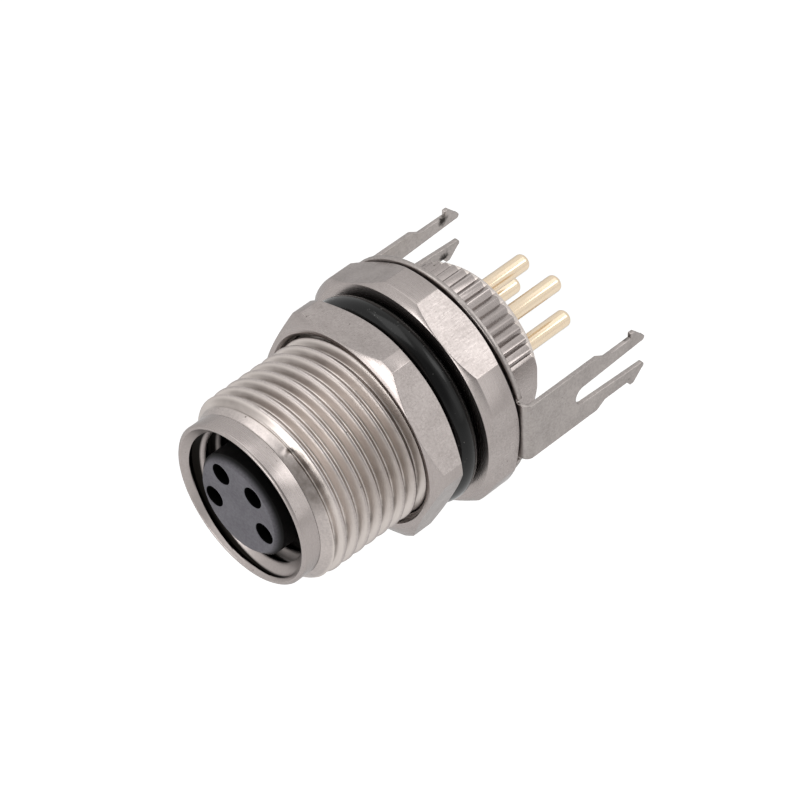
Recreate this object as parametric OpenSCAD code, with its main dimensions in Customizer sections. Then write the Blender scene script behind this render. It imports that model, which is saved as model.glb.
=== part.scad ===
/* [Front socket] */
// Length from the panel face to the mouth rim
front_l = 10.3; // [9:0.1:16]
// Diameter of the plain nose in front of the panel thread
nose_d = 8.7; // [8.6:0.05:9.1]
// Length of the plain nose
nose_l = 1; // [0.4:0.1:1.4]
// Inner diameter of the rim, where the countersink opens
mouth_d = 8.3; // [7.7:0.1:8.3]
// Major diameter of the coupling thread inside the socket
coupling_d = 8; // [7.6:0.1:8.2]
// Pitch of the coupling thread
coupling_pitch = 1; // [0.75:0.05:1.25]
// Radial depth of the coupling thread
coupling_depth = 0.5; // [0.2:0.05:0.6]
// Depth of the plug cavity from the mouth rim
cavity_l = 7; // [5:0.1:8]
// Thickness of the web behind the plug cavity
web_t = 1; // [0.6:0.1:1.5]

/* [Panel thread] */
// Diameter over the crests of the panel thread
thread_d = 9.86; // [9.5:0.02:10.2]
// Pitch of the panel thread
thread_pitch = 0.75; // [0.5:0.05:1]
// Radial depth of the panel thread
thread_depth = 0.42; // [0.2:0.02:0.45]
// Length of the taper from the nose up to the thread
taper_l = 0.5; // [0.3:0.05:1]
// Diameter at the top of the taper, in front of the thread
taper_d = 9.2; // [9.12:0.02:9.6]

/* [Hex flange] */
// Flange width across flats
flange_af = 12; // [11.6:0.1:14]
// Height of the turned flange corners over the flats
flange_corner = 0.4; // [0.2:0.05:0.85]
// Thickness of the flange
flange_t = 2; // [1.4:0.1:4]

/* [Hex nut] */
// Nut width across flats
nut_af = 11; // [10.8:0.1:14]
// Height of the turned nut corners over the flats
nut_corner = 0.65; // [0.2:0.05:0.8]
// Thickness of the nut
nut_t = 1.9; // [1.4:0.05:4]
// Angle at which the nut stands on the thread
nut_turn = 35.5; // [0:0.5:59.5]

/* [Panel seal] */
// Diameter of the neck that carries the panel seal ring
neck_d = 8.5; // [7.8:0.1:8.8]
// Cord diameter of the panel seal ring
cord_d = 1.4; // [1:0.1:1.7]

/* [Rear spigot] */
// Diameter over the knurl of the rear spigot
spigot_d = 8.8; // [8.4:0.1:9.6]
// Width across the two flats of the rear spigot
spigot_flat_w = 8; // [7.6:0.1:8.2]
// Length from the panel face to the rear end of the spigot
spigot_l = 5.3; // [4.8:0.1:7]
// Teeth on the full circle of the straight knurl
knurl_teeth = 46; // [24:1:60]
// Radial depth of the knurl
knurl_depth = 0.2; // [0.1:0.02:0.3]

/* [Shield clip] */
// Sheet thickness of the shield clip
sheet_t = 0.25; // [0.2:0.05:0.4]
// Diameter of the clip disc
disc_d = 12.4; // [12:0.1:16]
// Distance over the outer faces of the two legs
leg_span = 12.8; // [12:0.1:16]
// Width of a leg above its shoulders
leg_w = 3.5; // [3.2:0.1:5]
// Width over the two tines of a leg where they pass the board
tine_w = 2.8; // [2.6:0.1:3.1]
// Width of the slot between the tines at its round bottom
slot_w = 1.06; // [0.6:0.02:1.2]
// Height of the catch on a tine
barb_h = 0.3; // [0.2:0.05:0.4]
// Length from the panel face to the board that the shoulders stand on
board_seat = 7.5; // [6.8:0.1:12]
// Thickness of the board that the tines snap through
board_t = 1.6; // [1:0.1:2.4]

/* [Contact set] */
// Height of the insulator face over the mouth rim
column_stand = 0.1; // [-0.2:0.05:0.3]
// Diameter of the insulator column in the plug cavity
column_d = 5.5; // [5.4:0.1:5.9]
// Cord diameter of the small seal ring round the insulator
insert_cord_d = 0.46; // [0.3:0.02:0.6]
// Diameter of the circle through the four contacts
contact_circle_d = 3.55; // [3.3:0.05:3.7]
// Angle of the two upper contacts from the upright line
upper_angle = 37.3; // [33:0.1:42]
// Angle of the two lower contacts from the upright line
lower_angle = 106.6; // [98:0.1:115]
// Bore of a socket contact, for a 1 mm plug pin
socket_bore_d = 1.02; // [0.7:0.02:1.04]
// Outer diameter of a socket contact
socket_d = 1.5; // [1.4:0.02:1.52]
// Depth of the bore of a socket contact
socket_bore_l = 4.5; // [3:0.1:6]
// Diameter of the solder tail of a contact
tail_d = 0.9; // [0.6:0.05:1]
// Length of the solder tails past the board
tail_stand = 0.6; // [0.3:0.1:2]

/* [Hidden] */
// Smoothness of round surfaces
$fn = 96;
// Overshoot of a cut past the face that it opens
cut = 1;

// Clearances between pieces that meet
nut_clear = 0.05;
nut_gap = 0.05;
seal_gap = 0.02;
clip_clear = 0.02;
column_clear = 0.1;
insert_clear = 0.05;
contact_clear = 0.03;
entry_clear = 0.02;

// Length along the axis of the chamfers that turn the corners off the hexagons
flange_chamfer = 0.32;
nut_chamfer = 0.38;
// Broken edges of the turned and moulded pieces
rim_edge = 0.1;
spigot_edge = 0.35;
column_edge = 0.3;

// Stations along the axis, from the panel face at 0 toward the mouth
mouth_z = front_l;
floor_z = mouth_z - cavity_l;
web_z = floor_z - web_t;
nut_z = cord_d + 2 * seal_gap + nut_gap;
thread_end_z = mouth_z - nose_l - taper_l;
collar_l = 0.12;
knurl_step = 0.15;
flange_rear_z = -flange_t;
clip_front_z = flange_rear_z - collar_l;
clip_rear_z = clip_front_z - sheet_t;
spigot_end_z = -spigot_l;

// Body radii
thread_r = thread_d / 2;
root_r = thread_r - thread_depth;
neck_r = neck_d / 2;
neck_l = cord_d + 2 * seal_gap;
coupling_r = coupling_d / 2 - coupling_depth;
web_hole_r = column_d / 2 + column_clear;
rear_bore_r = column_d / 2 + insert_cord_d + 2 * seal_gap;
insert_r = rear_bore_r - insert_clear;
spigot_r = spigot_d / 2;
collar_rim = 0.8;
collar_r = spigot_r + collar_rim;

// Shares of a thread pitch taken by one flank and by the crest
flank_share = 0.3;
crest_share = 0.2;
// Shares of a knurl step at which a tooth rises from its root and reaches its crest
tooth_root = 0.1;
tooth_crest = 0.3;

// Insulator and contacts
contact_r = contact_circle_d / 2;
contact_angles = [90 + lower_angle, 90 + upper_angle, 90 - lower_angle, 90 - upper_angle];
column_z = mouth_z + column_stand;
front_wall = 0.6;
socket_z = column_z - front_wall;
entry_r = socket_bore_d / 2 + entry_clear;
shoulder_z = web_z - insert_cord_d - 2 * seal_gap;
joint_lift = 0.8;
joint_z = flange_rear_z + joint_lift;
rear_recess = 0.2;
retainer_z = spigot_end_z + rear_recess;
stop_rim = 0.1;
stop_l = 0.6;
stop_r = socket_d / 2 + stop_rim;
stop_z = joint_z + stop_l;
shank_rim = 0.2;
shank_r = tail_d / 2 + shank_rim;
shank_stand = 0.15;
shank_z = retainer_z - shank_stand;
socket_slot_w = 0.2;
socket_root_l = 0.9;
lead = 0.06;
tail_end_z = -board_seat - board_t - tail_stand;
tail_round_share = 0.6;

// Clip leg
bend_r = 0.2;
leg_x = leg_span / 2;
bend_x = leg_x - sheet_t - bend_r;
leg_root_z = clip_rear_z - bend_r;
relief = 0.25;
shoulder_l = 0.55;
catch_gap = 0.15;
catch_z = -board_seat - board_t - catch_gap;
barb_l = 0.25;
tip_l = 0.95;
tip_r = 0.18;
tip_from = -20;
tip_to = -200;
arc_steps = 8;
slot_l = 1.5;

nickel = [0.76, 0.74, 0.71];
sheet_nickel = [0.70, 0.68, 0.65];
black_rubber = [0.07, 0.07, 0.08];
dark_plastic = [0.22, 0.22, 0.24];
grey_plastic = [0.33, 0.33, 0.35];
gold = [0.86, 0.70, 0.42];

// Turns a shape drawn along Z so that it points out of the mouth, along -Y
module along_axis() {
    rotate([90, 0, 0]) children();
}

// Outline points of a row of thread ridges, from one station up to another
function ridge_row(crest, root, pitch, low, high) =
    let (count = floor((high - low) / pitch), first = high - count * pitch)
    [for (i = [0 : count - 1])
        let (z = first + i * pitch, land = (1 - 2 * flank_share - crest_share) * pitch)
        each [
            [root, z],
            [root, z + land],
            [crest, z + land + flank_share * pitch],
            [crest, z + land + (flank_share + crest_share) * pitch]
        ]];

// Outline points of an arc
function arc(centre, radius, from, to, steps) =
    [for (i = [0 : steps])
        let (a = from + (to - from) * i / steps)
        centre + radius * [cos(a), sin(a)]];

// A hexagon with its corners turned round and chamfered at both ends
module turned_hex(af, corner, chamfer, low, high) {
    sides = 6;
    half_step = 180 / sides;
    corner_r = af / 2 + corner;
    intersection() {
        translate([0, 0, low])
            rotate(half_step)
                cylinder(h = high - low, r = af / 2 / cos(half_step), $fn = sides);
        rotate_extrude()
            polygon([
                [0, low],
                [af / 2, low],
                [corner_r, low + chamfer],
                [corner_r, high - chamfer],
                [af / 2, high],
                [0, high]
            ]);
    }
}

// Neck, panel thread, taper and nose, turned in one profile
module threaded_front() {
    rotate_extrude()
        polygon(concat(
            [[0, flange_rear_z], [neck_r, flange_rear_z], [neck_r, neck_l]],
            ridge_row(thread_r, root_r, thread_pitch, neck_l, thread_end_z),
            [[root_r, thread_end_z], [taper_d / 2, thread_end_z]],
            [[nose_d / 2, mouth_z - nose_l], [nose_d / 2, mouth_z - rim_edge]],
            [[nose_d / 2 - rim_edge, mouth_z], [0, mouth_z]]
        ));
}

// Stepped bore with the coupling thread in the plug cavity
module socket_bore() {
    countersink_z = mouth_z - (mouth_d / 2 - coupling_r);
    relief_z = floor_z + coupling_pitch / 2;
    rotate_extrude()
        polygon(concat(
            [[0, spigot_end_z - cut], [rear_bore_r, spigot_end_z - cut], [rear_bore_r, web_z]],
            [[web_hole_r, web_z], [web_hole_r, floor_z], [coupling_r, floor_z]],
            ridge_row(coupling_d / 2, coupling_r, coupling_pitch, relief_z, countersink_z),
            [[coupling_r, countersink_z], [mouth_d / 2 + cut, mouth_z + cut], [0, mouth_z + cut]]
        ));
}

// Outline of the straight knurl
module knurl_outline() {
    step = 360 / knurl_teeth;
    polygon([for (i = [0 : knurl_teeth - 1]) each [
        for (p = [[tooth_root, 0], [tooth_crest, 1], [1 - tooth_crest, 1], [1 - tooth_root, 0]])
            let (a = (i + p[0]) * step, r = spigot_r - knurl_depth * (1 - p[1]))
            r * [cos(a), sin(a)]
    ]]);
}

// Collar, plain land for the clip and knurled rear end, with two flats
module rear_spigot() {
    knurl_z = clip_rear_z - knurl_step;
    knurl_l = knurl_z - spigot_end_z;
    land_r = spigot_r - knurl_depth / 2;
    end_r = spigot_r - spigot_edge;
    translate([0, 0, clip_front_z])
        cylinder(h = collar_l, r = collar_r);
    intersection() {
        union() {
            translate([0, 0, knurl_z])
                cylinder(h = clip_front_z - knurl_z, r = land_r);
            intersection() {
                translate([0, 0, spigot_end_z])
                    linear_extrude(knurl_l)
                        knurl_outline();
                translate([0, 0, spigot_end_z])
                    cylinder(h = knurl_l, r1 = end_r, r2 = end_r + knurl_l);
            }
        }
        translate([-spigot_flat_w / 2, -spigot_d, spigot_end_z])
            cube([spigot_flat_w, 2 * spigot_d, spigot_l]);
    }
}

// Turned body: nose, panel thread, hex flange and knurled spigot in one piece
module body() {
    color(nickel)
        along_axis()
            difference() {
                union() {
                    threaded_front();
                    turned_hex(flange_af, flange_corner, flange_chamfer, flange_rear_z, 0);
                    rear_spigot();
                }
                socket_bore();
            }
}

// Thin nut that clamps the panel against the seal
module hex_nut() {
    bore_r = thread_r + nut_clear;
    sink = (nut_af / 2 - bore_r) / 2;
    color(nickel)
        along_axis()
            difference() {
                rotate(nut_turn)
                    turned_hex(nut_af, nut_corner, nut_chamfer, nut_z, nut_z + nut_t);
                rotate_extrude()
                    polygon([
                        [0, nut_z - cut],
                        [bore_r + sink + cut, nut_z - cut],
                        [bore_r, nut_z + sink],
                        [bore_r, nut_z + nut_t - sink],
                        [bore_r + sink + cut, nut_z + nut_t + cut],
                        [0, nut_z + nut_t + cut]
                    ]);
            }
}

// A rubber ring of round cord
module seal_ring(inner_r, cord, z) {
    rotate_extrude()
        translate([inner_r + cord / 2, z + cord / 2])
            circle(d = cord, $fn = 48);
}

// Ring in front of the flange that seals against the panel
module panel_seal() {
    color(black_rubber)
        along_axis()
            seal_ring(neck_r + seal_gap, cord_d, seal_gap);
}

// Small ring between the insulator shoulder and the web of the body
module insert_seal() {
    color(black_rubber)
        along_axis()
            seal_ring(column_d / 2 + seal_gap, insert_cord_d, shoulder_z + seal_gap);
}

// Flat blank of one leg: shoulders, two tines with catches, slot with a round bottom
module leg_blank() {
    tip_z = catch_z - tip_l;
    slot_z = -board_seat + slot_l;
    tine = tine_w / 2;
    barb = tine + barb_h;
    tip = [tine - barb_h - tip_r, tip_z + tip_r];
    half = concat(
        [[0, leg_root_z], [leg_w / 2, leg_root_z], [leg_w / 2, -board_seat + shoulder_l]],
        [[tine, -board_seat], [tine, catch_z], [barb, catch_z], [barb, catch_z - barb_l]],
        arc(tip, tip_r, tip_from, tip_to, arc_steps),
        [[slot_w / 2, slot_z], [0, slot_z]]
    );
    difference() {
        for (side = [0, 1])
            mirror([side, 0])
                polygon(half);
        translate([0, slot_z])
            circle(d = slot_w, $fn = 32);
    }
}

// One leg of the clip, bent from the disc toward the board
module clip_leg() {
    bend_outer = bend_r + sheet_t;
    translate([bend_x, 0, leg_root_z])
        rotate([90, 0, 0])
            linear_extrude(leg_w, center = true)
                intersection() {
                    difference() {
                        circle(r = bend_outer);
                        circle(r = bend_r);
                    }
                    square(bend_outer);
                }
    translate([leg_x - sheet_t, 0, 0])
        rotate([90, 0, 90])
            linear_extrude(sheet_t)
                leg_blank();
}

// Folded shield clip: disc on the spigot and two forked legs
module shield_clip() {
    hole_r = spigot_r + clip_clear;
    hole_w = spigot_flat_w + 2 * clip_clear;
    notch_w = leg_w + 2 * relief;
    color(sheet_nickel)
        along_axis() {
            translate([0, 0, clip_rear_z])
                linear_extrude(sheet_t)
                    difference() {
                        union() {
                            difference() {
                                circle(d = disc_d);
                                for (side = [0, 180])
                                    rotate(side)
                                        translate([bend_x - relief, -notch_w / 2])
                                            square([disc_d, notch_w]);
                            }
                            square([2 * bend_x, leg_w], center = true);
                        }
                        intersection() {
                            circle(r = hole_r);
                            square([hole_w, disc_d], center = true);
                        }
                    }
            for (side = [0, 180])
                rotate(side)
                    clip_leg();
        }
}

// Places a shape at the position of one contact
module at_contact(angle) {
    rotate(angle)
        translate([contact_r, 0, 0])
            children();
}

// Insulator column with the four plug holes and the chambers of the contacts
module contact_carrier() {
    chamber_r = socket_d / 2 + contact_clear;
    pocket_r = stop_r + contact_clear;
    pocket_z = stop_z + contact_clear;
    chamber_z = socket_z + contact_clear;
    color(dark_plastic)
        along_axis()
            difference() {
                rotate_extrude()
                    polygon([
                        [0, joint_z],
                        [insert_r, joint_z],
                        [insert_r, shoulder_z],
                        [column_d / 2, shoulder_z],
                        [column_d / 2, column_z - column_edge],
                        [column_d / 2 - column_edge, column_z],
                        [0, column_z]
                    ]);
                for (angle = contact_angles)
                    at_contact(angle)
                        rotate_extrude()
                            polygon([
                                [0, joint_z - cut],
                                [pocket_r, joint_z - cut],
                                [pocket_r, pocket_z],
                                [chamber_r, pocket_z],
                                [chamber_r, chamber_z],
                                [entry_r, chamber_z],
                                [entry_r, column_z - lead],
                                [entry_r + lead + cut, column_z + cut],
                                [0, column_z + cut]
                            ]);
            }
}

// Rear insulator behind the stop collars of the contacts
module contact_retainer() {
    retainer_l = joint_z - retainer_z;
    color(grey_plastic)
        along_axis()
            difference() {
                translate([0, 0, retainer_z])
                    cylinder(h = retainer_l, r = insert_r);
                for (angle = contact_angles)
                    at_contact(angle)
                        translate([0, 0, retainer_z - cut])
                            cylinder(h = retainer_l + 2 * cut, r = shank_r + contact_clear);
            }
}

// Split socket contact with a stop collar, a shank and a straight solder tail
module contact(angle) {
    tail_r = tail_d / 2;
    tail_round = tail_round_share * tail_r;
    tip = [tail_r - tail_round, tail_end_z + tail_round];
    socket_r = socket_d / 2;
    bore_r = socket_bore_d / 2;
    bore_z = socket_z - socket_bore_l;
    slot_z = bore_z + socket_root_l;
    color(gold)
        along_axis()
            at_contact(angle)
                difference() {
                    rotate_extrude()
                        polygon(concat(
                            [[0, tail_end_z]],
                            arc(tip, tail_round, -90, 0, arc_steps),
                            [[tail_r, shank_z], [shank_r, shank_z], [shank_r, joint_z]],
                            [[stop_r, joint_z], [stop_r, stop_z]],
                            [[socket_r, stop_z], [socket_r, socket_z], [bore_r + lead, socket_z]],
                            [[bore_r, socket_z - lead], [bore_r, bore_z], [0, bore_z]]
                        ));
                    translate([-socket_d, -socket_slot_w / 2, slot_z])
                        cube([2 * socket_d, socket_slot_w, socket_z - slot_z + cut]);
                }
}

module contact_1() {
    contact(contact_angles[0]);
}

module contact_2() {
    contact(contact_angles[1]);
}

module contact_3() {
    contact(contact_angles[2]);
}

module contact_4() {
    contact(contact_angles[3]);
}

body();
hex_nut();
panel_seal();
shield_clip();
contact_carrier();
insert_seal();
contact_retainer();
contact_1();
contact_2();
contact_3();
contact_4();
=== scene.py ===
import math

import bmesh
import bpy
from mathutils import Matrix, Vector


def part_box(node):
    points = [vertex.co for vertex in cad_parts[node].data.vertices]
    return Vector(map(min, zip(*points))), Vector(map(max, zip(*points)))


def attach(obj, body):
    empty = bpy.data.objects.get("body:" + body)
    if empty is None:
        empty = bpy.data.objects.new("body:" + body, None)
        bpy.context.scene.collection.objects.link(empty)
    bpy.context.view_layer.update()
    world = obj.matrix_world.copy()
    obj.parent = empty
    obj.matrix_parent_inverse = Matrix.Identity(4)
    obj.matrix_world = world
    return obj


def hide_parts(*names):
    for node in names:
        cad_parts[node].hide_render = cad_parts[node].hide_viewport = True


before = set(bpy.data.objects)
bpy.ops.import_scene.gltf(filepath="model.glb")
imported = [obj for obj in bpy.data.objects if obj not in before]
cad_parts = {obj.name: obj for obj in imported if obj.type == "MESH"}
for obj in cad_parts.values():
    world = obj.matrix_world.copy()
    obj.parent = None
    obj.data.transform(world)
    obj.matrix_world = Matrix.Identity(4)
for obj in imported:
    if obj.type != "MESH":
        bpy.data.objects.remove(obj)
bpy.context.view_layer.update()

# Body: one brass turning, bored right through, plated in satin nickel.
# From the mouth back it is a plain nose, a fine panel thread, a neck for the seal ring, a hex flange
# milled from the bar with its corners turned off, and a knurled spigot with two flats for the clip.
MM = 0.001
SLACK = 0.01
HAIR = 0.001
MERGE = 1e-4
CUT = 1e-5
body_low, body_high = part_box("body")
mouth_z = -body_low.y / MM
spigot_end_z = -body_high.y / MM
flange_af = 2 * body_high.x / MM
flange_corner_r = body_high.z / MM
flange_t = 2.05
flange_chamfer = 0.32
corner_inset = 0.02
edge_round = 0.035
milled_angle = 24
nose_r = 4.35
nose_l = 1.0
rim_edge = 0.1
rim_gap = 0.02
mouth_r = 4.15
thread_r = 4.93
root_r = 4.51
thread_pitch = 0.75
thread_rows = 22
neck_r = 4.25
neck_l = 1.44
coupling_root_r = 4.0
coupling_r = 3.5
coupling_pitch = 1.0
coupling_rows = 12
coupling_z = 9.26
floor_z = 3.3
relief_z = 3.8
relief_gap = 0.05
web_r = 2.85
web_z = 2.3
rear_bore_r = 3.25
spigot_r = 4.4
spigot_flat = 4.0
spigot_edge = 0.35
land_r = 4.3
collar_r = 5.2
collar_z = -2.12
knurl_teeth = 46
knurl_depth = 0.2
knurl_fullness = 1.2
knurl_z = -2.52
SEGMENTS = 6 * knurl_teeth


def spin(bm, geom, rise=0.0):
    """Turns edges once round the axis, climbing by rise in the turn."""
    bmesh.ops.spin(
        bm, geom=geom, cent=(0, 0, 0), axis=(0, 0, 1), dvec=(0, 0, rise / SEGMENTS),
        angle=math.tau, steps=SEGMENTS, use_merge=rise == 0,
    )


def outline(profile):
    """A new mesh that holds an outline of (radius, station) points."""
    part = bmesh.new()
    verts = [part.verts.new((r, 0, z)) for r, z in profile]
    for pair in zip(verts, verts[1:]):
        part.edges.new(pair)
    return part


def join(bm, part):
    """Adds a finished part to a mesh."""
    mesh = bpy.data.meshes.new("part")
    part.to_mesh(mesh)
    part.free()
    bm.from_mesh(mesh)
    bpy.data.meshes.remove(mesh)


def turn(bm, profile):
    """Adds an outline turned round the axis."""
    part = outline(profile)
    spin(part, part.verts[:] + part.edges[:])
    join(bm, part)


def set_radius(vert, radius):
    """Moves a vertex straight out or in to a radius."""
    scale = radius / vert.co.xy.length
    vert.co.x *= scale
    vert.co.y *= scale


def angle_of(vert):
    """A vertex's angle round the axis, in degrees."""
    return math.degrees(math.atan2(vert.co.y, vert.co.x))


def slice_off(bm, faces, place, normal):
    """Cuts off what some faces have past a plane, and returns the edges and the vertices of the cut."""
    verts = dict.fromkeys(v for f in faces for v in f.verts)
    edges = dict.fromkeys(e for f in faces for e in f.edges)
    cut = bmesh.ops.bisect_plane(
        bm, geom=[*verts, *edges, *faces], dist=CUT, plane_co=place, plane_no=normal, clear_outer=True
    )["geom_cut"]
    return (
        [e for e in cut if isinstance(e, bmesh.types.BMEdge)],
        [v for v in cut if isinstance(v, bmesh.types.BMVert)],
    )


# A ridge's rounded crest and root, as shares of the pitch and of the depth.
crest_half = 0.08
crest_drop = 0.04
root_half = 0.42
root_lift = 0.06


def ridge(away):
    """Height of a thread ridge at a share of the pitch from its middle."""
    if away < crest_half:
        return 1 - crest_drop * (away / crest_half) ** 4
    if away > root_half:
        return root_lift * ((0.5 - away) / (0.5 - root_half)) ** 2
    down = (away - crest_half) / (root_half - crest_half)
    return 1 - crest_drop - (1 - crest_drop - root_lift) * down


def screw(bm, outer_r, inner_r, pitch, phase, low, high, trim, rows):
    """Adds one right-hand screw surface between two stations. phase is a ridge's station at angle 0, and
    trim gives the radius left at a radius, a station and an angle. A pitch has a number of rows of faces."""
    first = math.floor((low - phase) / pitch) - 1
    last = math.ceil((high - phase) / pitch) + 1
    profile = []
    for i in range(first * rows, last * rows + 1):
        height = ridge(abs((i / rows + 0.5) % 1 - 0.5))
        profile.append((inner_r + (outer_r - inner_r) * height, phase + i * pitch / rows))
    part = outline(profile)
    spin(part, part.verts[:] + part.edges[:], pitch)
    bmesh.ops.remove_doubles(part, verts=part.verts, dist=MERGE)
    for v in part.verts:
        set_radius(v, trim(v.co.xy.length, v.co.z, angle_of(v)))
    slice_off(part, part.faces[:], (0, 0, low), (0, 0, -1))
    slice_off(part, part.faces[:], (0, 0, high), (0, 0, 1))
    join(bm, part)


def bridge(bm, low, high):
    """Joins two open rims, at a low and a high station."""
    rims = [
        e for e in bm.edges
        if e.is_boundary and all(low - SLACK < v.co.z < high + SLACK for v in e.verts)
    ]
    bmesh.ops.bridge_loops(bm, edges=rims)


def mill_hex(bm, af, turned, low, high):
    """Mills six flats on a turned disc between two stations and returns them."""
    flats = []
    for step in range(6):
        angle = math.radians(turned + 60 * step)
        normal = Vector((math.cos(angle), math.sin(angle), 0))
        faces = [f for f in bm.faces if all(low - SLACK < v.co.z < high + SLACK for v in f.verts)]
        loop, _ = slice_off(bm, faces, normal * af / 2, normal)
        flats += bmesh.ops.contextual_create(bm, geom=loop)["faces"]
    return flats


def round_edges(bm, width, steps, sharp_angle, chosen):
    """Rounds the edges sharper than an angle whose vertices all pass a test of radius and station."""
    edges = [
        e for e in bm.edges
        if e.is_manifold and e.calc_face_angle() > math.radians(sharp_angle)
        and all(chosen(v.co.xy.length, v.co.z) for v in e.verts)
    ]
    bmesh.ops.bevel(
        bm, geom=edges, offset=width, offset_type="OFFSET", affect="EDGES",
        segments=steps, profile=0.5, clamp_overlap=True, material=-1,
    )


def shade_smooth(bm):
    """Lets light run smoothly over all faces."""
    for f in bm.faces:
        f.smooth = True


def finish_faces(bm, finish, chosen):
    """Gives a finish to the faces whose vertices all pass a test of radius and station."""
    for f in bm.faces:
        if all(chosen(v.co.xy.length, v.co.z) for v in f.verts):
            f.material_index = finish


def make_piece(name, bm, materials, body, node, flat_faced=True):
    """Makes the finished piece from a mesh modelled upright in millimetres, and puts it in the frame."""
    upright = Matrix.Rotation(math.radians(90), 4, "X") @ Matrix.Scale(MM, 4)
    bmesh.ops.transform(bm, matrix=upright, verts=bm.verts)
    mesh = bpy.data.meshes.new(name)
    bm.to_mesh(mesh)
    bm.free()
    mesh.set_sharp_from_angle(angle=math.radians(38))
    for material in materials:
        mesh.materials.append(material)
    piece = bpy.data.objects.new(name, mesh)
    bpy.context.scene.collection.objects.link(piece)
    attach(piece, body)
    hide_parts(node)
    if flat_faced:
        piece.modifiers.new("face_normals", "WEIGHTED_NORMAL").keep_sharp = True


# The first groove runs out on a taper behind the nose. The ridge in front of it starts with a nick.
start_angle = 60.0
start_z = 9.117
chamfer_z = mouth_z - nose_l
nick_span = 5
taper_span = 240
taper_fade = 120
taper_slope = 0.43
taper_z = 8.77
taper_r = nose_r + 0.228
groove_slope = 1.2


def run_out(r, z, angle):
    """Radius of the panel thread where the front chamfer and the start of the thread trim it."""
    past = (angle - start_angle) % 360
    plain = min(past / nick_span, 1) * min(max((taper_span - past) / taper_fade, 0), 1)
    steep = nose_r + (chamfer_z - z)
    shallow = nose_r + (chamfer_z - z) * taper_slope
    if z < taper_z:
        shallow = taper_r + (taper_z - z) * groove_slope
    return min(r, steep + (min(shallow, steep) - steep) * plain)


def countersunk(r, z, angle):
    """Radius of the coupling thread where the countersink of the mouth trims it."""
    return max(r, mouth_r + z - mouth_z)


turning = bmesh.new()
screw(
    turning, thread_r, root_r, thread_pitch, start_z - thread_pitch * start_angle / 360,
    neck_l, chamfer_z, run_out, thread_rows,
)
screw(
    turning, coupling_root_r, coupling_r, coupling_pitch, coupling_z,
    relief_z, mouth_z - rim_gap, countersunk, coupling_rows,
)
flange_edge_r = flange_af / 2 - corner_inset
turn(turning, [
    (rear_bore_r, spigot_end_z), (spigot_r - spigot_edge, spigot_end_z),
    (spigot_r - knurl_depth, spigot_end_z + spigot_edge - knurl_depth),
    (spigot_r, spigot_end_z + spigot_edge), (spigot_r, knurl_z), (land_r, knurl_z), (land_r, collar_z),
    (collar_r, collar_z), (collar_r, -flange_t), (flange_edge_r, -flange_t),
    (flange_corner_r, flange_chamfer - flange_t), (flange_corner_r, -flange_chamfer), (flange_edge_r, 0),
    (neck_r, 0), (neck_r, neck_l),
])
turn(turning, [
    (nose_r, chamfer_z + rim_gap), (nose_r, mouth_z - rim_edge), (nose_r - rim_edge, mouth_z),
    (mouth_r, mouth_z),
])
turn(turning, [
    (coupling_r, relief_z - relief_gap), (coupling_r, floor_z), (web_r, floor_z), (web_r, web_z),
    (rear_bore_r, web_z), (rear_bore_r, spigot_end_z),
])
bmesh.ops.remove_doubles(turning, verts=turning.verts, dist=MERGE)
for v in turning.verts:
    r, z = v.co.xy.length, v.co.z
    on_land = abs(r - land_r) < 2 * SLACK
    if z < knurl_z + HAIR and r > spigot_r - knurl_depth - SLACK and not on_land:
        along = angle_of(v) % 360 * knurl_teeth / 360 % 1
        tooth = min(1, knurl_fullness * (1 - abs(2 * along - 1)))
        set_radius(v, min(r, spigot_r - knurl_depth * (1 - tooth)))
bridge(turning, neck_l, neck_l)
bridge(turning, chamfer_z, chamfer_z + rim_gap)
bridge(turning, mouth_z - rim_gap, mouth_z)
bridge(turning, relief_z - relief_gap, relief_z)
flats = mill_hex(turning, flange_af, 0, -flange_t, 0)
for side in (-1, 1):
    faces = [
        f for f in turning.faces
        if all(v.co.z < collar_z + HAIR and v.co.xy.length < spigot_r + SLACK for v in f.verts)
    ]
    loop, corners = slice_off(turning, faces, (side * spigot_flat, 0, 0), (side, 0, 0))
    chord = turning.edges.new([v for v in corners if v.co.z > collar_z - HAIR])
    step_arc = [
        e for e in turning.edges if e.is_boundary and e not in loop and e.verts[0].co.x * side > 0
    ]
    flats += bmesh.ops.contextual_create(turning, geom=loop + [chord])["faces"]
    bmesh.ops.contextual_create(turning, geom=step_arc + [chord])
bmesh.ops.recalc_face_normals(turning, faces=turning.faces)
shade_smooth(turning)
DRAWN, BORED, KNURLED, THREADED = 1, 2, 3, 4
finish_faces(turning, BORED, lambda r, z: r < mouth_r - SLACK and z > floor_z - SLACK)
finish_faces(turning, KNURLED, lambda r, z: r > rear_bore_r + 0.3 and z < knurl_z - SLACK)
finish_faces(
    turning, THREADED,
    lambda r, z: root_r - 0.3 < r < thread_r + SLACK and neck_l - SLACK < z < chamfer_z + SLACK,
)
for f in flats:
    f.material_index = DRAWN
round_edges(
    turning, edge_round, 2, milled_angle,
    lambda r, z: (r > mouth_r - SLACK and z > mouth_z - 0.2)
    or (r > neck_r + 0.1 and collar_z - SLACK < z < SLACK),
)


def nodes_of(material):
    """A material's node tree and its shader."""
    material.use_nodes = True
    return material.node_tree, material.node_tree.nodes["Principled BSDF"]


def add(tree, kind, **values):
    """Adds a node, with its settings by name and its input values by socket name."""
    node = tree.nodes.new(kind)
    for key, value in values.items():
        if hasattr(node, key):
            setattr(node, key, value)
        else:
            node.inputs[key.replace("_", " ")].default_value = value
    return node


def feed(tree, socket, value):
    """Links a socket to an input, or sets the input to a number or colour."""
    if isinstance(value, bpy.types.NodeSocket):
        tree.links.new(value, socket)
    else:
        socket.default_value = value


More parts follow.
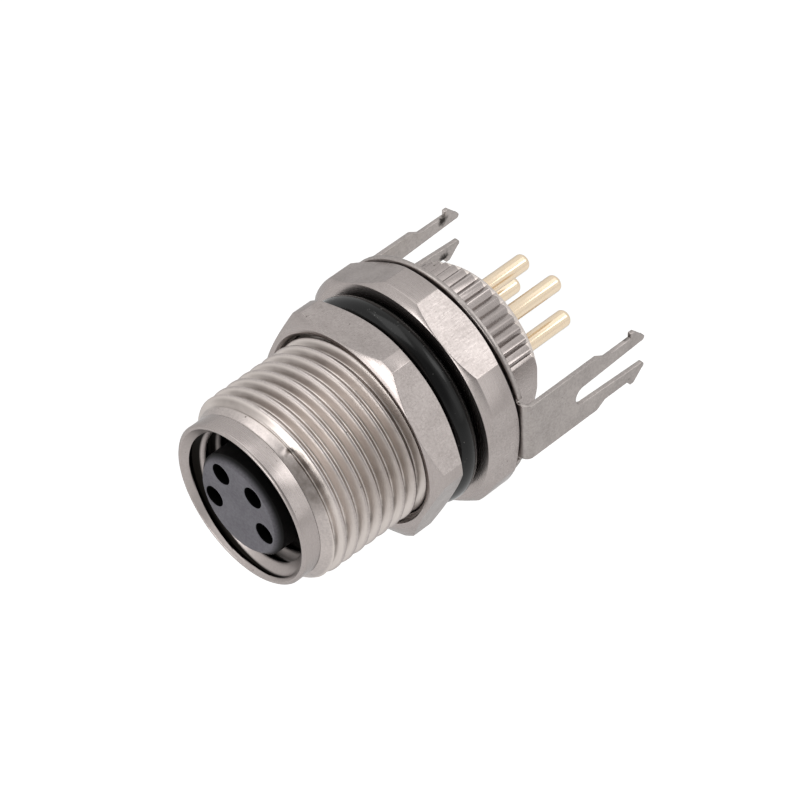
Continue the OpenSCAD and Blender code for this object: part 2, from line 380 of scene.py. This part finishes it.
def reckon(tree, operation, *values):
    """The result of a sum on sockets and numbers."""
    node = add(tree, "ShaderNodeMath", operation=operation)
    for socket, value in zip(node.inputs, values):
        feed(tree, socket, value)
    return node.outputs[0]


def times(tree, mask, *others):
    """The product of masks."""
    for other in others:
        mask = reckon(tree, "MULTIPLY", mask, other)
    return mask


def grows(tree, value, start, end, low=0.0, high=1.0, curve="LINEAR"):
    """A value that goes from low to high as another goes from start to end."""
    ramp = add(tree, "ShaderNodeMapRange", interpolation_type=curve)
    levels = {"Value": value, "From Min": start, "From Max": end, "To Min": low, "To Max": high}
    for name, level in levels.items():
        feed(tree, ramp.inputs[name], level)
    return ramp.outputs["Result"]


def blended(tree, share, first, second):
    """A value that is a share of the way from one value to another."""
    mix = add(tree, "ShaderNodeMix", data_type="FLOAT", Factor=share)
    feed(tree, mix.inputs["A"], first)
    feed(tree, mix.inputs["B"], second)
    return mix.outputs["Result"]


def mixed(tree, mask, base, other):
    """A colour that goes from one colour or socket to a second colour as a mask goes from 0 to 1."""
    mix = add(tree, "ShaderNodeMix", data_type="RGBA")
    feed(tree, mix.inputs["Factor"], mask)
    feed(tree, mix.inputs["A"], (*base, 1) if isinstance(base, tuple) else base)
    feed(tree, mix.inputs["B"], (*other, 1))
    return mix.outputs["Result"]


def noise(tree, place, scale, detail, roughness=0.5):
    """A smooth random value over a place."""
    texture = add(tree, "ShaderNodeTexNoise", Scale=scale, Detail=detail, Roughness=roughness)
    tree.links.new(place, texture.inputs["Vector"])
    return texture.outputs["Fac"]


def own_place(tree):
    """The place of a material's point on its piece."""
    return add(tree, "ShaderNodeTexCoord").outputs["Object"]


def places(tree):
    """The X, Y and Z of a material's point, and its distance from the axis."""
    split = add(tree, "ShaderNodeSeparateXYZ")
    tree.links.new(own_place(tree), split.inputs[0])
    x, y, z = split.outputs
    squares = reckon(tree, "ADD", reckon(tree, "POWER", x, 2), reckon(tree, "POWER", z, 2))
    return x, y, z, reckon(tree, "SQRT", squares)


def dress(tree, shader, base, rough, height, strength):
    """Gives a shader its colour, its roughness, and a fine bump from a height."""
    bump = add(tree, "ShaderNodeBump", Strength=strength, Distance=0.01 * MM)
    tree.links.new(height, bump.inputs["Height"])
    tree.links.new(base, shader.inputs["Base Color"])
    tree.links.new(rough, shader.inputs["Roughness"])
    tree.links.new(bump.outputs["Normal"], shader.inputs["Normal"])


def new_group(name, inputs, outputs):
    """A new node group with named sockets: the group, what it is given, and what it makes."""
    group = bpy.data.node_groups.new(name, "ShaderNodeTree")
    for label, kind in inputs.items():
        group.interface.new_socket(label, in_out="INPUT", socket_type=f"NodeSocket{kind}")
    for label in outputs:
        group.interface.new_socket(label, in_out="OUTPUT", socket_type="NodeSocketFloat")
    return group, group.nodes.new("NodeGroupInput").outputs, group.nodes.new("NodeGroupOutput").inputs


def make_plating_marks():
    """Marks in a plated surface: fine tool lines, slow cloudiness, a satin grain and sparse dark pits."""
    group, given, made = new_group(
        "plating_marks", {"Lines At": "Vector", "Place": "Vector"}, ("Lines", "Cloud", "Grain", "Pits")
    )
    place = given["Place"]
    pits = noise(group, place, scale=5200.0, detail=1.0)
    group.links.new(noise(group, given["Lines At"], scale=1.0, detail=3.0, roughness=0.6), made["Lines"])
    group.links.new(noise(group, place, scale=900.0, detail=4.0, roughness=0.55), made["Cloud"])
    group.links.new(noise(group, place, scale=9000.0, detail=3.0, roughness=0.7), made["Grain"])
    group.links.new(grows(group, pits, 0.76, 0.82), made["Pits"])
    return group


def make_station_mask():
    """A mask that grows along the axis from one station to another."""
    group, given, made = new_group(
        "station_mask", {"Place": "Vector", "Start": "Float", "End": "Float"}, ("Mask",)
    )
    split = add(group, "ShaderNodeSeparateXYZ")
    group.links.new(given["Place"], split.inputs[0])
    mask = grows(group, split.outputs["Y"], given["Start"], given["End"], curve="SMOOTHSTEP")
    group.links.new(mask, made["Mask"])
    return group


def make_ragged_spot():
    """A ragged spot that fades from a near to a far distance from its middle. From is the place that the
    distance is measured at."""
    group, given, made = new_group(
        "ragged_spot",
        {"Place": "Vector", "From": "Vector", "Middle": "Vector", "Near": "Float", "Far": "Float"}, ("Mask",),
    )
    away = add(group, "ShaderNodeVectorMath", operation="DISTANCE")
    group.links.new(given["From"], away.inputs[0])
    group.links.new(given["Middle"], away.inputs[1])
    ragged = noise(group, given["Place"], scale=3500.0, detail=3.0)
    reach = grows(group, ragged, 0.0, 1.0, -0.25 * MM, 0.25 * MM)
    edge = reckon(group, "ADD", away.outputs["Value"], reach)
    group.links.new(grows(group, edge, given["Far"], given["Near"]), made["Mask"])
    return group


plating_marks = make_plating_marks()
station_mask = make_station_mask()
ragged_spot = make_ragged_spot()


def mask_along(tree, start, end):
    """The station mask of a material, between two distances in millimetres along Y."""
    mask = add(tree, "ShaderNodeGroup", node_tree=station_mask, Start=start * MM, End=end * MM)
    tree.links.new(own_place(tree), mask.inputs["Place"])
    return mask.outputs["Mask"]


def spot_mask(tree, middle, near, far, mirrored=False):
    """A ragged spot, in millimetres. A mirrored one is repeated on both sides of every middle plane."""
    place = own_place(tree)
    spot = add(tree, "ShaderNodeGroup", node_tree=ragged_spot, Near=near * MM, Far=far * MM)
    spot.inputs["Middle"].default_value = tuple(value * MM for value in middle)
    tree.links.new(place, spot.inputs["Place"])
    if mirrored:
        folded = add(tree, "ShaderNodeVectorMath", operation="ABSOLUTE")
        tree.links.new(place, folded.inputs[0])
        place = folded.outputs["Vector"]
    tree.links.new(place, spot.inputs["From"])
    return spot.outputs["Mask"]


def mix_colour_in(tree, mask, colour):
    """Mixes a colour into a material where a mask is 1."""
    skin = tree.nodes["Principled BSDF"].inputs["Base Color"]
    tree.links.new(mixed(tree, mask, skin.links[0].from_socket, colour), skin)


pit_dark = (0.10, 0.085, 0.075)
edge_gloss = (0.68, 0.68, 0.68, 1)


def make_plated(name, colour, shade, roughness, spread, line_scale, turned=False, pitted=True):
    """A plated metal. Turned faces have rings round the axis, drawn and rolled ones have straight lines."""
    material = bpy.data.materials.new(name)
    tree, shader = nodes_of(material)
    lines_at = place = own_place(tree)
    if turned:
        _, y, _, out = places(tree)
        ring = add(tree, "ShaderNodeCombineXYZ")
        tree.links.new(out, ring.inputs["X"])
        tree.links.new(y, ring.inputs["Y"])
        lines_at = ring.outputs[0]
    stretch = add(tree, "ShaderNodeMapping", Scale=line_scale)
    tree.links.new(lines_at, stretch.inputs["Vector"])
    marks = add(tree, "ShaderNodeGroup", node_tree=plating_marks)
    tree.links.new(place, marks.inputs["Place"])
    tree.links.new(stretch.outputs[0], marks.inputs["Lines At"])
    mottle = blended(tree, 0.65, marks.outputs["Cloud"], marks.outputs["Grain"])
    skin = mixed(tree, grows(tree, mottle, 0.36, 0.6), shade, colour)
    if pitted:
        skin = mixed(tree, marks.outputs["Pits"], skin, pit_dark)
    lines = marks.outputs["Lines"]
    rough = grows(tree, lines, 0.3, 0.7, roughness - spread, roughness + spread)
    dress(tree, shader, skin, rough, lines, 0.08)
    shader.inputs["Metallic"].default_value = 1.0
    shader.inputs["Specular Tint"].default_value = edge_gloss
    return material


nickel = (0.392, 0.353, 0.338)
nickel_shade = (0.345, 0.308, 0.294)
tool_rings = (9000, 14000, 1)
bar_lines = (14000, 2200, 14000)
knurl_lines = (8000, 5000, 8000)
turned_nickel = make_plated("turned_nickel", nickel, nickel_shade, 0.27, 0.06, tool_rings, turned=True)
thread_nickel = make_plated(
    "thread_nickel", (0.515, 0.464, 0.440), nickel, 0.36, 0.07, tool_rings, turned=True
)
drawn_nickel = make_plated(
    "drawn_nickel", (0.425, 0.384, 0.368), (0.315, 0.281, 0.268), 0.30, 0.06, bar_lines
)
knurled_nickel = make_plated(
    "knurled_nickel", (0.84, 0.765, 0.715), (0.54, 0.486, 0.455), 0.34, 0.10, knurl_lines
)
bore_nickel = make_plated("bore_nickel", nickel, nickel_shade, 0.36, 0.06, tool_rings, turned=True)

# The panel thread is bright in its grooves, with grime in the roots. Its upper side has painted dark
# reflection, its start painted shade, and its low side a stain and grime with painted shade.
thread_end = chamfer_z - 0.45
station_fade = 0.1
clean_nickel = (0.61, 0.555, 0.52)
grime = (0.060, 0.048, 0.040)
start_painted_shade = (0.18, 0.154, 0.138)
low_stain_and_shade = (0.26, 0.222, 0.195)
upper_painted_reflection = (0.30, 0.265, 0.247)
side_grime_and_shade = (0.10, 0.084, 0.073)


def groove_mask(tree, clean_r, deep_r, low=neck_l, high=thread_end):
    """A mask that grows inwards from one radius to another, between two stations of the panel thread."""
    *_, out = places(tree)
    return times(
        tree, grows(tree, out, clean_r * MM, deep_r * MM),
        mask_along(tree, -high - station_fade, -high), mask_along(tree, -low, -low - station_fade),
    )


def patches(tree, scale, least, most):
    """Ragged patches, from a least to a most strength."""
    return grows(tree, noise(tree, own_place(tree), scale, detail=3.0), 0.4, 0.7, least, most)


def round_place(radius, station, degrees):
    """A place round the axis, in millimetres."""
    angle = math.radians(degrees)
    return radius * math.cos(angle), -station, radius * math.sin(angle)


def side_mask(tree, degrees, start, end):
    """A mask on the side of the body that faces an angle, between two distances from the axis."""
    x, _, z, _ = places(tree)
    angle = math.radians(degrees)
    across = reckon(tree, "MULTIPLY", x, math.cos(angle))
    upward = reckon(tree, "MULTIPLY", z, math.sin(angle))
    return grows(tree, reckon(tree, "ADD", across, upward), start * MM, end * MM)


tree = thread_nickel.node_tree
mix_colour_in(tree, groove_mask(tree, clean_r=thread_r - 0.01, deep_r=thread_r - 0.1), clean_nickel)
mix_colour_in(tree, times(
    tree, groove_mask(tree, clean_r=root_r + 0.06, deep_r=root_r + 0.02),
    patches(tree, scale=1500, least=0.0, most=0.3),
), grime)
nick_place = round_place(radius=4.6, station=8.87, degrees=start_angle + 3)
mix_colour_in(tree, spot_mask(tree, nick_place, near=0.10, far=0.26), grime)
# Beside the start of the thread the grooves are darkened: painted shade under the ridge's start.
start_shade_place = round_place(radius=4.6, station=8.75, degrees=start_angle - 16)
mix_colour_in(tree, times(
    tree, groove_mask(tree, clean_r=thread_r - 0.03, deep_r=thread_r - 0.15, low=8.3, high=chamfer_z),
    spot_mask(tree, start_shade_place, near=0.8, far=2.0), patches(tree, scale=2600, least=0.5, most=0.9),
), start_painted_shade)
# The low middle of the thread is darkened: partly a stain, partly painted shade.
low_side_place = round_place(radius=4.8, station=4.9, degrees=24)
mix_colour_in(tree, times(
    tree, spot_mask(tree, low_side_place, near=0.8, far=3.4), patches(tree, scale=1200, least=0.38, most=0.6),
), low_stain_and_shade)
# The upper side of the thread's grooves is darkened: painted dark reflection.
mix_colour_in(tree, times(
    tree, groove_mask(tree, clean_r=thread_r - 0.08, deep_r=thread_r - 0.2),
    side_mask(tree, degrees=105, start=3.85, end=4.6), patches(tree, scale=1200, least=0.7, most=0.95),
), upper_painted_reflection)
# The roots on the low side are darkened: partly grime, partly painted shade.
mix_colour_in(tree, times(
    tree, groove_mask(tree, clean_r=root_r + 0.16, deep_r=root_r + 0.04),
    side_mask(tree, degrees=-15, start=4.15, end=4.55), patches(tree, scale=1500, least=0.5, most=0.95),
), side_grime_and_shade)

# The bore is painted dark towards its floor, and so is the groove that runs out in the countersink: painted
# shade in hollows.
hollow_painted_shade = (0.008, 0.007, 0.006)
groove_lean = -36


def groove_in_sink(tree):
    """A mask on the outer side of the coupling thread's groove, where it runs out in the countersink."""
    x, y, z, out = places(tree)
    turns = reckon(tree, "MULTIPLY", reckon(tree, "ARCTAN2", z, x), 1 / math.tau)
    pitches = reckon(tree, "MULTIPLY", y, -1 / (coupling_pitch * MM))
    along = reckon(tree, "SUBTRACT", reckon(tree, "SUBTRACT", pitches, turns), coupling_z / coupling_pitch)
    from_middle = reckon(tree, "WRAP", along, 0.5, -0.5)
    leaned = reckon(tree, "ADD", from_middle, reckon(tree, "MULTIPLY", x, groove_lean))
    below_sink = reckon(tree, "ADD", out, y)
    cone = mouth_r - mouth_z
    return times(
        tree, grows(tree, leaned, -0.2, -0.14),
        grows(tree, below_sink, (cone + 0.01) * MM, (cone + 0.04) * MM),
    )


tree = bore_nickel.node_tree
mix_colour_in(tree, mask_along(tree, start=-9.2, end=-7.6), hollow_painted_shade)
mix_colour_in(tree, groove_in_sink(tree), hollow_painted_shade)
make_piece(
    "plated_body", turning, [turned_nickel, drawn_nickel, bore_nickel, knurled_nickel, thread_nickel],
    "connector", "body",
)

# Nut: a thin brass hex nut, turned from drawn hex bar, tapped and plated like the body.
# It runs on the panel thread, so its inner ridges stay clear of the body's crests.
nut_low, nut_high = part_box("hex_nut")
nut_z = -nut_high.y / MM
nut_top_z = -nut_low.y / MM
nut_af = 11.0
nut_corner_r = 6.15
nut_turn = 35.5
nut_bore_r = 4.98
nut_groove_r = 5.2
nut_rows = 20
nut_phase = 0.4
nut_chamfer = 0.38
nut_round = 0.04
sink = (nut_af / 2 - nut_bore_r) / 2


def tapped(r, z, angle):
    """Radius of the nut's thread where the countersinks at its two faces trim it."""
    return max(r, nut_bore_r + sink - (z - nut_z), nut_bore_r + sink - (nut_top_z - z))


nut = bmesh.new()
screw(
    nut, nut_groove_r, nut_bore_r, thread_pitch, nut_z + nut_phase,
    nut_z + rim_gap, nut_top_z - rim_gap, tapped, nut_rows,
)
nut_edge_r = nut_af / 2 - corner_inset
turn(nut, [
    (nut_bore_r + sink, nut_z), (nut_edge_r, nut_z), (nut_corner_r, nut_z + nut_chamfer),
    (nut_corner_r, nut_top_z - nut_chamfer), (nut_edge_r, nut_top_z), (nut_bore_r + sink, nut_top_z),
])
bridge(nut, nut_z, nut_z + rim_gap)
bridge(nut, nut_top_z - rim_gap, nut_top_z)
flats = mill_hex(nut, nut_af, nut_turn, nut_z, nut_top_z)
bmesh.ops.recalc_face_normals(nut, faces=nut.faces)
shade_smooth(nut)
for f in flats:
    f.material_index = DRAWN
round_edges(nut, nut_round, 2, milled_angle, lambda r, z: r > nut_bore_r + 0.9 * sink)
make_piece("plated_nut", nut, [turned_nickel, drawn_nickel], "nut", "hex_nut")

# Panel seal: a moulded ring of round black rubber cord, stretched over the neck against the flange.
# The rubber has a dull bloom and catches a few specks of dust.
seal_low, seal_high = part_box("panel_seal")
cord_r = (seal_high.y - seal_low.y) / MM / 2
seal_r = seal_high.x / MM - cord_r
seal_z = -(seal_low.y + seal_high.y) / 2 / MM
cord_sides = 40
dust = (0.16, 0.155, 0.15)


def make_rubber(name, colour, bloom):
    """Black rubber with a dull bloom, a fine moulded grain and light specks of dust."""
    material = bpy.data.materials.new(name)
    tree, shader = nodes_of(material)
    place = own_place(tree)
    dull = noise(tree, place, scale=700.0, detail=4.0)
    specks = grows(tree, noise(tree, place, scale=6000.0, detail=1.0), 0.72, 0.80)
    grain = noise(tree, place, scale=16000.0, detail=2.0)
    skin = mixed(tree, specks, mixed(tree, dull, colour, bloom), dust)
    dress(tree, shader, skin, grows(tree, dull, 0.0, 1.0, 0.12, 0.24), grain, 0.15)
    shader.inputs["Specular IOR Level"].default_value = 0.26
    return material


black_rubber = make_rubber("black_rubber", (0.002, 0.002, 0.002), (0.004, 0.004, 0.004))
ring = bmesh.new()
stand = Matrix.Translation((seal_r, 0, seal_z)) @ Matrix.Rotation(math.radians(90), 4, "X")
bmesh.ops.create_circle(ring, segments=cord_sides, radius=cord_r, matrix=stand)
spin(ring, ring.verts[:] + ring.edges[:])
bmesh.ops.recalc_face_normals(ring, faces=ring.faces)
shade_smooth(ring)
make_piece(
    "rubber_seal", ring, [black_rubber], "connector", "panel_seal", flat_faced=False
)

# Shield clip: stamped and folded from thin spring bronze, plated dull nickel.
# Its disc sits on the flats of the spigot, and its two forked legs snap into the circuit board.
disc_r = 6.2
disc_roll = 0.11
sheet_lines = (2600, 2600, 500)
catch_painted_shade = (0.030, 0.026, 0.023)
catch_place = (6.0, 9.1, 1.25)


def from_cad(node, bevel, sharp_angle, rolled=None, roll=0.0):
    """A merged copy of a solid's mesh in millimetres, laid upright, with its sharp edges rounded. Edges whose
    vertices all pass the rolled test get a wider round."""
    bm = bmesh.new()
    bm.from_mesh(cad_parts[node].data)
    laid_upright = Matrix.Scale(1 / MM, 4) @ Matrix.Rotation(math.radians(-90), 4, "X")
    bmesh.ops.transform(bm, matrix=laid_upright, verts=bm.verts)
    bmesh.ops.remove_doubles(bm, verts=bm.verts, dist=MERGE)
    bmesh.ops.dissolve_limit(bm, angle_limit=math.radians(0.5), verts=bm.verts, edges=bm.edges)
    if rolled:
        round_edges(bm, roll, 3, sharp_angle, rolled)
    round_edges(bm, bevel, 2, sharp_angle, lambda r, z: True)
    shade_smooth(bm)
    return bm


sheet_nickel = make_plated(
    "sheet_nickel", (0.410, 0.374, 0.356), (0.300, 0.274, 0.261), 0.38, 0.08, sheet_lines
)
tree = sheet_nickel.node_tree
# Near the catches the legs are painted near-black, on both sides: painted shade.
mix_colour_in(tree, spot_mask(tree, catch_place, near=0.2, far=0.4, mirrored=True), catch_painted_shade)
clip = from_cad(
    "shield_clip", bevel=0.035, sharp_angle=35,
    rolled=lambda r, z: z > collar_z - SLACK and abs(r - disc_r) < SLACK, roll=disc_roll,
)
make_piece("folded_clip", clip, [sheet_nickel], "connector", "shield_clip")

# Contact carrier: a moulded dark grey insulator that fills the middle of the mouth.
# Its front face has the four pin holes and a fine matte grain from the mould.
carrier_z = -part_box("contact_carrier")[0].y / MM
carrier_edge_r = 2.45
hole_edge = 0.035
rim_front = 0.02
rim_back = 0.26
rim_painted_shade = (0.002, 0.002, 0.002)


def make_moulded_grain():
    """The skin of a moulded plastic: a slow change of tone with fine speckles, and the matte grain."""
    group, given, made = new_group("moulded_grain", {"Place": "Vector"}, ("Tone", "Grain"))
    tone = noise(group, given["Place"], scale=600.0, detail=3.0)
    grain = noise(group, given["Place"], scale=9000.0, detail=3.0)
    group.links.new(grows(group, blended(group, 0.6, tone, grain), 0.35, 0.65), made["Tone"])
    group.links.new(grain, made["Grain"])
    return group


moulded_grain = make_moulded_grain()


def make_plastic(name, colour, lighter, roughness, gloss):
    """A moulded plastic with a fine matte grain and a slow change of tone."""
    material = bpy.data.materials.new(name)
    tree, shader = nodes_of(material)
    skin = add(tree, "ShaderNodeGroup", node_tree=moulded_grain)
    tree.links.new(own_place(tree), skin.inputs["Place"])
    tint = mixed(tree, skin.outputs["Tone"], colour, lighter)
    rough = grows(tree, skin.outputs["Grain"], 0.0, 1.0, roughness - 0.08, roughness + 0.08)
    dress(tree, shader, tint, rough, skin.outputs["Grain"], 0.2)
    shader.inputs["Specular IOR Level"].default_value = gloss
    return material


dark_plastic = make_plastic("dark_plastic", (0.112, 0.107, 0.120), (0.172, 0.166, 0.183), 0.55, 0.12)
hole_painted_shade = make_plastic("hole_painted_shade", rim_painted_shade, (0.004, 0.004, 0.004), 0.8, 0.0)
# The side behind the carrier's front edge is painted near-black: painted shade.
tree = dark_plastic.node_tree
*_, out = places(tree)
mix_colour_in(tree, times(
    tree, mask_along(tree, -rim_front - carrier_z, rim_back - carrier_z),
    grows(tree, out, (carrier_edge_r - 0.02) * MM, carrier_edge_r * MM),
), rim_painted_shade)
carrier = from_cad("contact_carrier", bevel=0.03, sharp_angle=35)
# The pin holes' walls get a near-black material that paints their shade.
for f in carrier.faces:
    inside = all(v.co.xy.length < carrier_edge_r for v in f.verts)
    if inside and min(v.co.z for v in f.verts) < carrier_z - hole_edge:
        f.material_index = 1
make_piece(
    "moulded_carrier", carrier, [dark_plastic, hole_painted_shade], "connector", "contact_carrier"
)

# Insert seal: a thin moulded ring of the same black rubber as the panel seal.
# It is squeezed between the carrier's shoulder and the web of the body, out of sight.
small_ring = from_cad("insert_seal", bevel=0.01, sharp_angle=60)
make_piece(
    "small_seal", small_ring, [black_rubber], "connector", "insert_seal", flat_faced=False
)

# Contact retainer: a disc moulded from black plastic.
# It is pressed into the spigot and closes it behind the contacts' collars.
black_plastic = make_plastic("black_plastic", (0.020, 0.020, 0.022), (0.030, 0.030, 0.033), 0.5, 0.5)
retainer = from_cad("contact_retainer", bevel=0.03, sharp_angle=35)
make_piece(
    "moulded_retainer", retainer, [black_plastic], "connector", "contact_retainer"
)

# Contacts: four turned brass sockets with long round solder tails, plated pale gold.
# Each is pressed in from the rear as far as its collar, and its tail ends in a rounded tip.
tail_lines = (9000, 900, 9000)
pale_gold = make_plated(
    "pale_gold", (0.795, 0.665, 0.505), (0.77, 0.625, 0.455), 0.16, 0.04, tail_lines, pitted=False
)
for number in range(1, 5):
    contact = from_cad(f"contact_{number}", bevel=0.02, sharp_angle=40)
    make_piece(
        f"gilt_contact_{number}", contact, [pale_gold], "connector", f"contact_{number}"
    )

# Floor: a plain white sheet far below the part, which is held by its panel face.
# It is white to the lens and in reflections, and shows the part's soft shadow.
floor_drop = 0.06
floor_size = 3.0
floor_mesh = bpy.data.meshes.new("floor")
sheet = bmesh.new()
bmesh.ops.create_grid(
    sheet, x_segments=1, y_segments=1, size=floor_size, matrix=Matrix.Translation((0, 0, -floor_drop))
)
sheet.to_mesh(floor_mesh)
sheet.free()
floor = bpy.data.objects.new("floor", floor_mesh)
bpy.context.scene.collection.objects.link(floor)


def seen_level(tree, unseen, seen):
    """A strength that is higher for the lens, in mirrors and through glass than it is as light."""
    rays = add(tree, "ShaderNodeLightPath").outputs
    either = reckon(tree, "MAXIMUM", rays["Is Camera Ray"], rays["Is Glossy Ray"])
    either = reckon(tree, "MAXIMUM", either, rays["Is Transmission Ray"])
    return grows(tree, either, 0.0, 1.0, unseen, seen)


white = bpy.data.materials.new("white_floor")
tree, shader = nodes_of(white)
shader.inputs["Base Color"].default_value = (0.9, 0.9, 0.9, 1)
shader.inputs["Roughness"].default_value = 0.9
shader.inputs["Emission Color"].default_value = (1, 1, 1, 1)
tree.links.new(seen_level(tree, 0.0, 0.42), shader.inputs["Emission Strength"])
floor_mesh.materials.append(white)

# Light: a white studio, darker on the side that the lens looks from.
# Six soft boxes stand round the part: one behind it to the right, one overhead, a large one above left,
# two in front and one at the right side.
scene = bpy.context.scene
scene.view_settings.view_transform = "Standard"
scene.world = bpy.data.worlds.new("studio")
scene.world.use_nodes = True
tree = scene.world.node_tree
background = tree.nodes["Background"]
dark_side = Vector((0.5, -0.62, 0.6)).normalized()
towards = add(tree, "ShaderNodeVectorMath", operation="DOT_PRODUCT")
towards.inputs[1].default_value = dark_side
tree.links.new(add(tree, "ShaderNodeTexCoord").outputs["Generated"], towards.inputs[0])
wall = grows(tree, towards.outputs["Value"], 0.65, 0.94, 1.0, 0.4, curve="SMOOTHSTEP")
tree.links.new(wall, background.inputs["Color"])
tree.links.new(seen_level(tree, 0.45, 1.0), background.inputs["Strength"])


def soft_box(name, place, size, watts):
    """A square soft box that points at the part."""
    lamp = bpy.data.lights.new(name, "AREA")
    lamp.size = size
    lamp.energy = watts
    box = bpy.data.objects.new(name, lamp)
    box.location = place
    box.rotation_euler = (-Vector(place)).to_track_quat("-Z", "Y").to_euler()
    scene.collection.objects.link(box)


soft_box("key", place=(0.178, 0.166, 0.247), size=0.16, watts=0.17)
soft_box("overhead", place=(0.0, 0.168, 0.307), size=0.20, watts=0.05)
soft_box("top_left", place=(-0.105, -0.08, 0.33), size=0.27, watts=0.34)
soft_box("front_left", place=(-0.168, -0.32, 0.12), size=0.34, watts=0.04)
soft_box("front", place=(-0.04, -0.40, 0.01), size=0.24, watts=0.62)
soft_box("right_side", place=(0.35, 0.12, 0.10), size=0.20, watts=0.05)

# Camera: a long lens above and to the right of the mouth, which looks down along the part.
# Its place, direction and roll are those that the photo was fitted with.
eye = Vector((0.08733, -0.08049, 0.11861))
sight = Vector((-0.519145, 0.478626, -0.708100))
roll = math.radians(-2.397)
camera_data = bpy.data.cameras.new("camera")
camera_data.lens = 158.71
camera_data.sensor_width = 36.0
camera_data.clip_start = 0.01
camera = bpy.data.objects.new("camera", camera_data)
aim = sight.to_track_quat("-Z", "Y").to_matrix() @ Matrix.Rotation(roll, 3, "Z")
camera.matrix_world = Matrix.Translation(eye) @ aim.to_4x4()
scene.collection.objects.link(camera)
scene.camera = camera
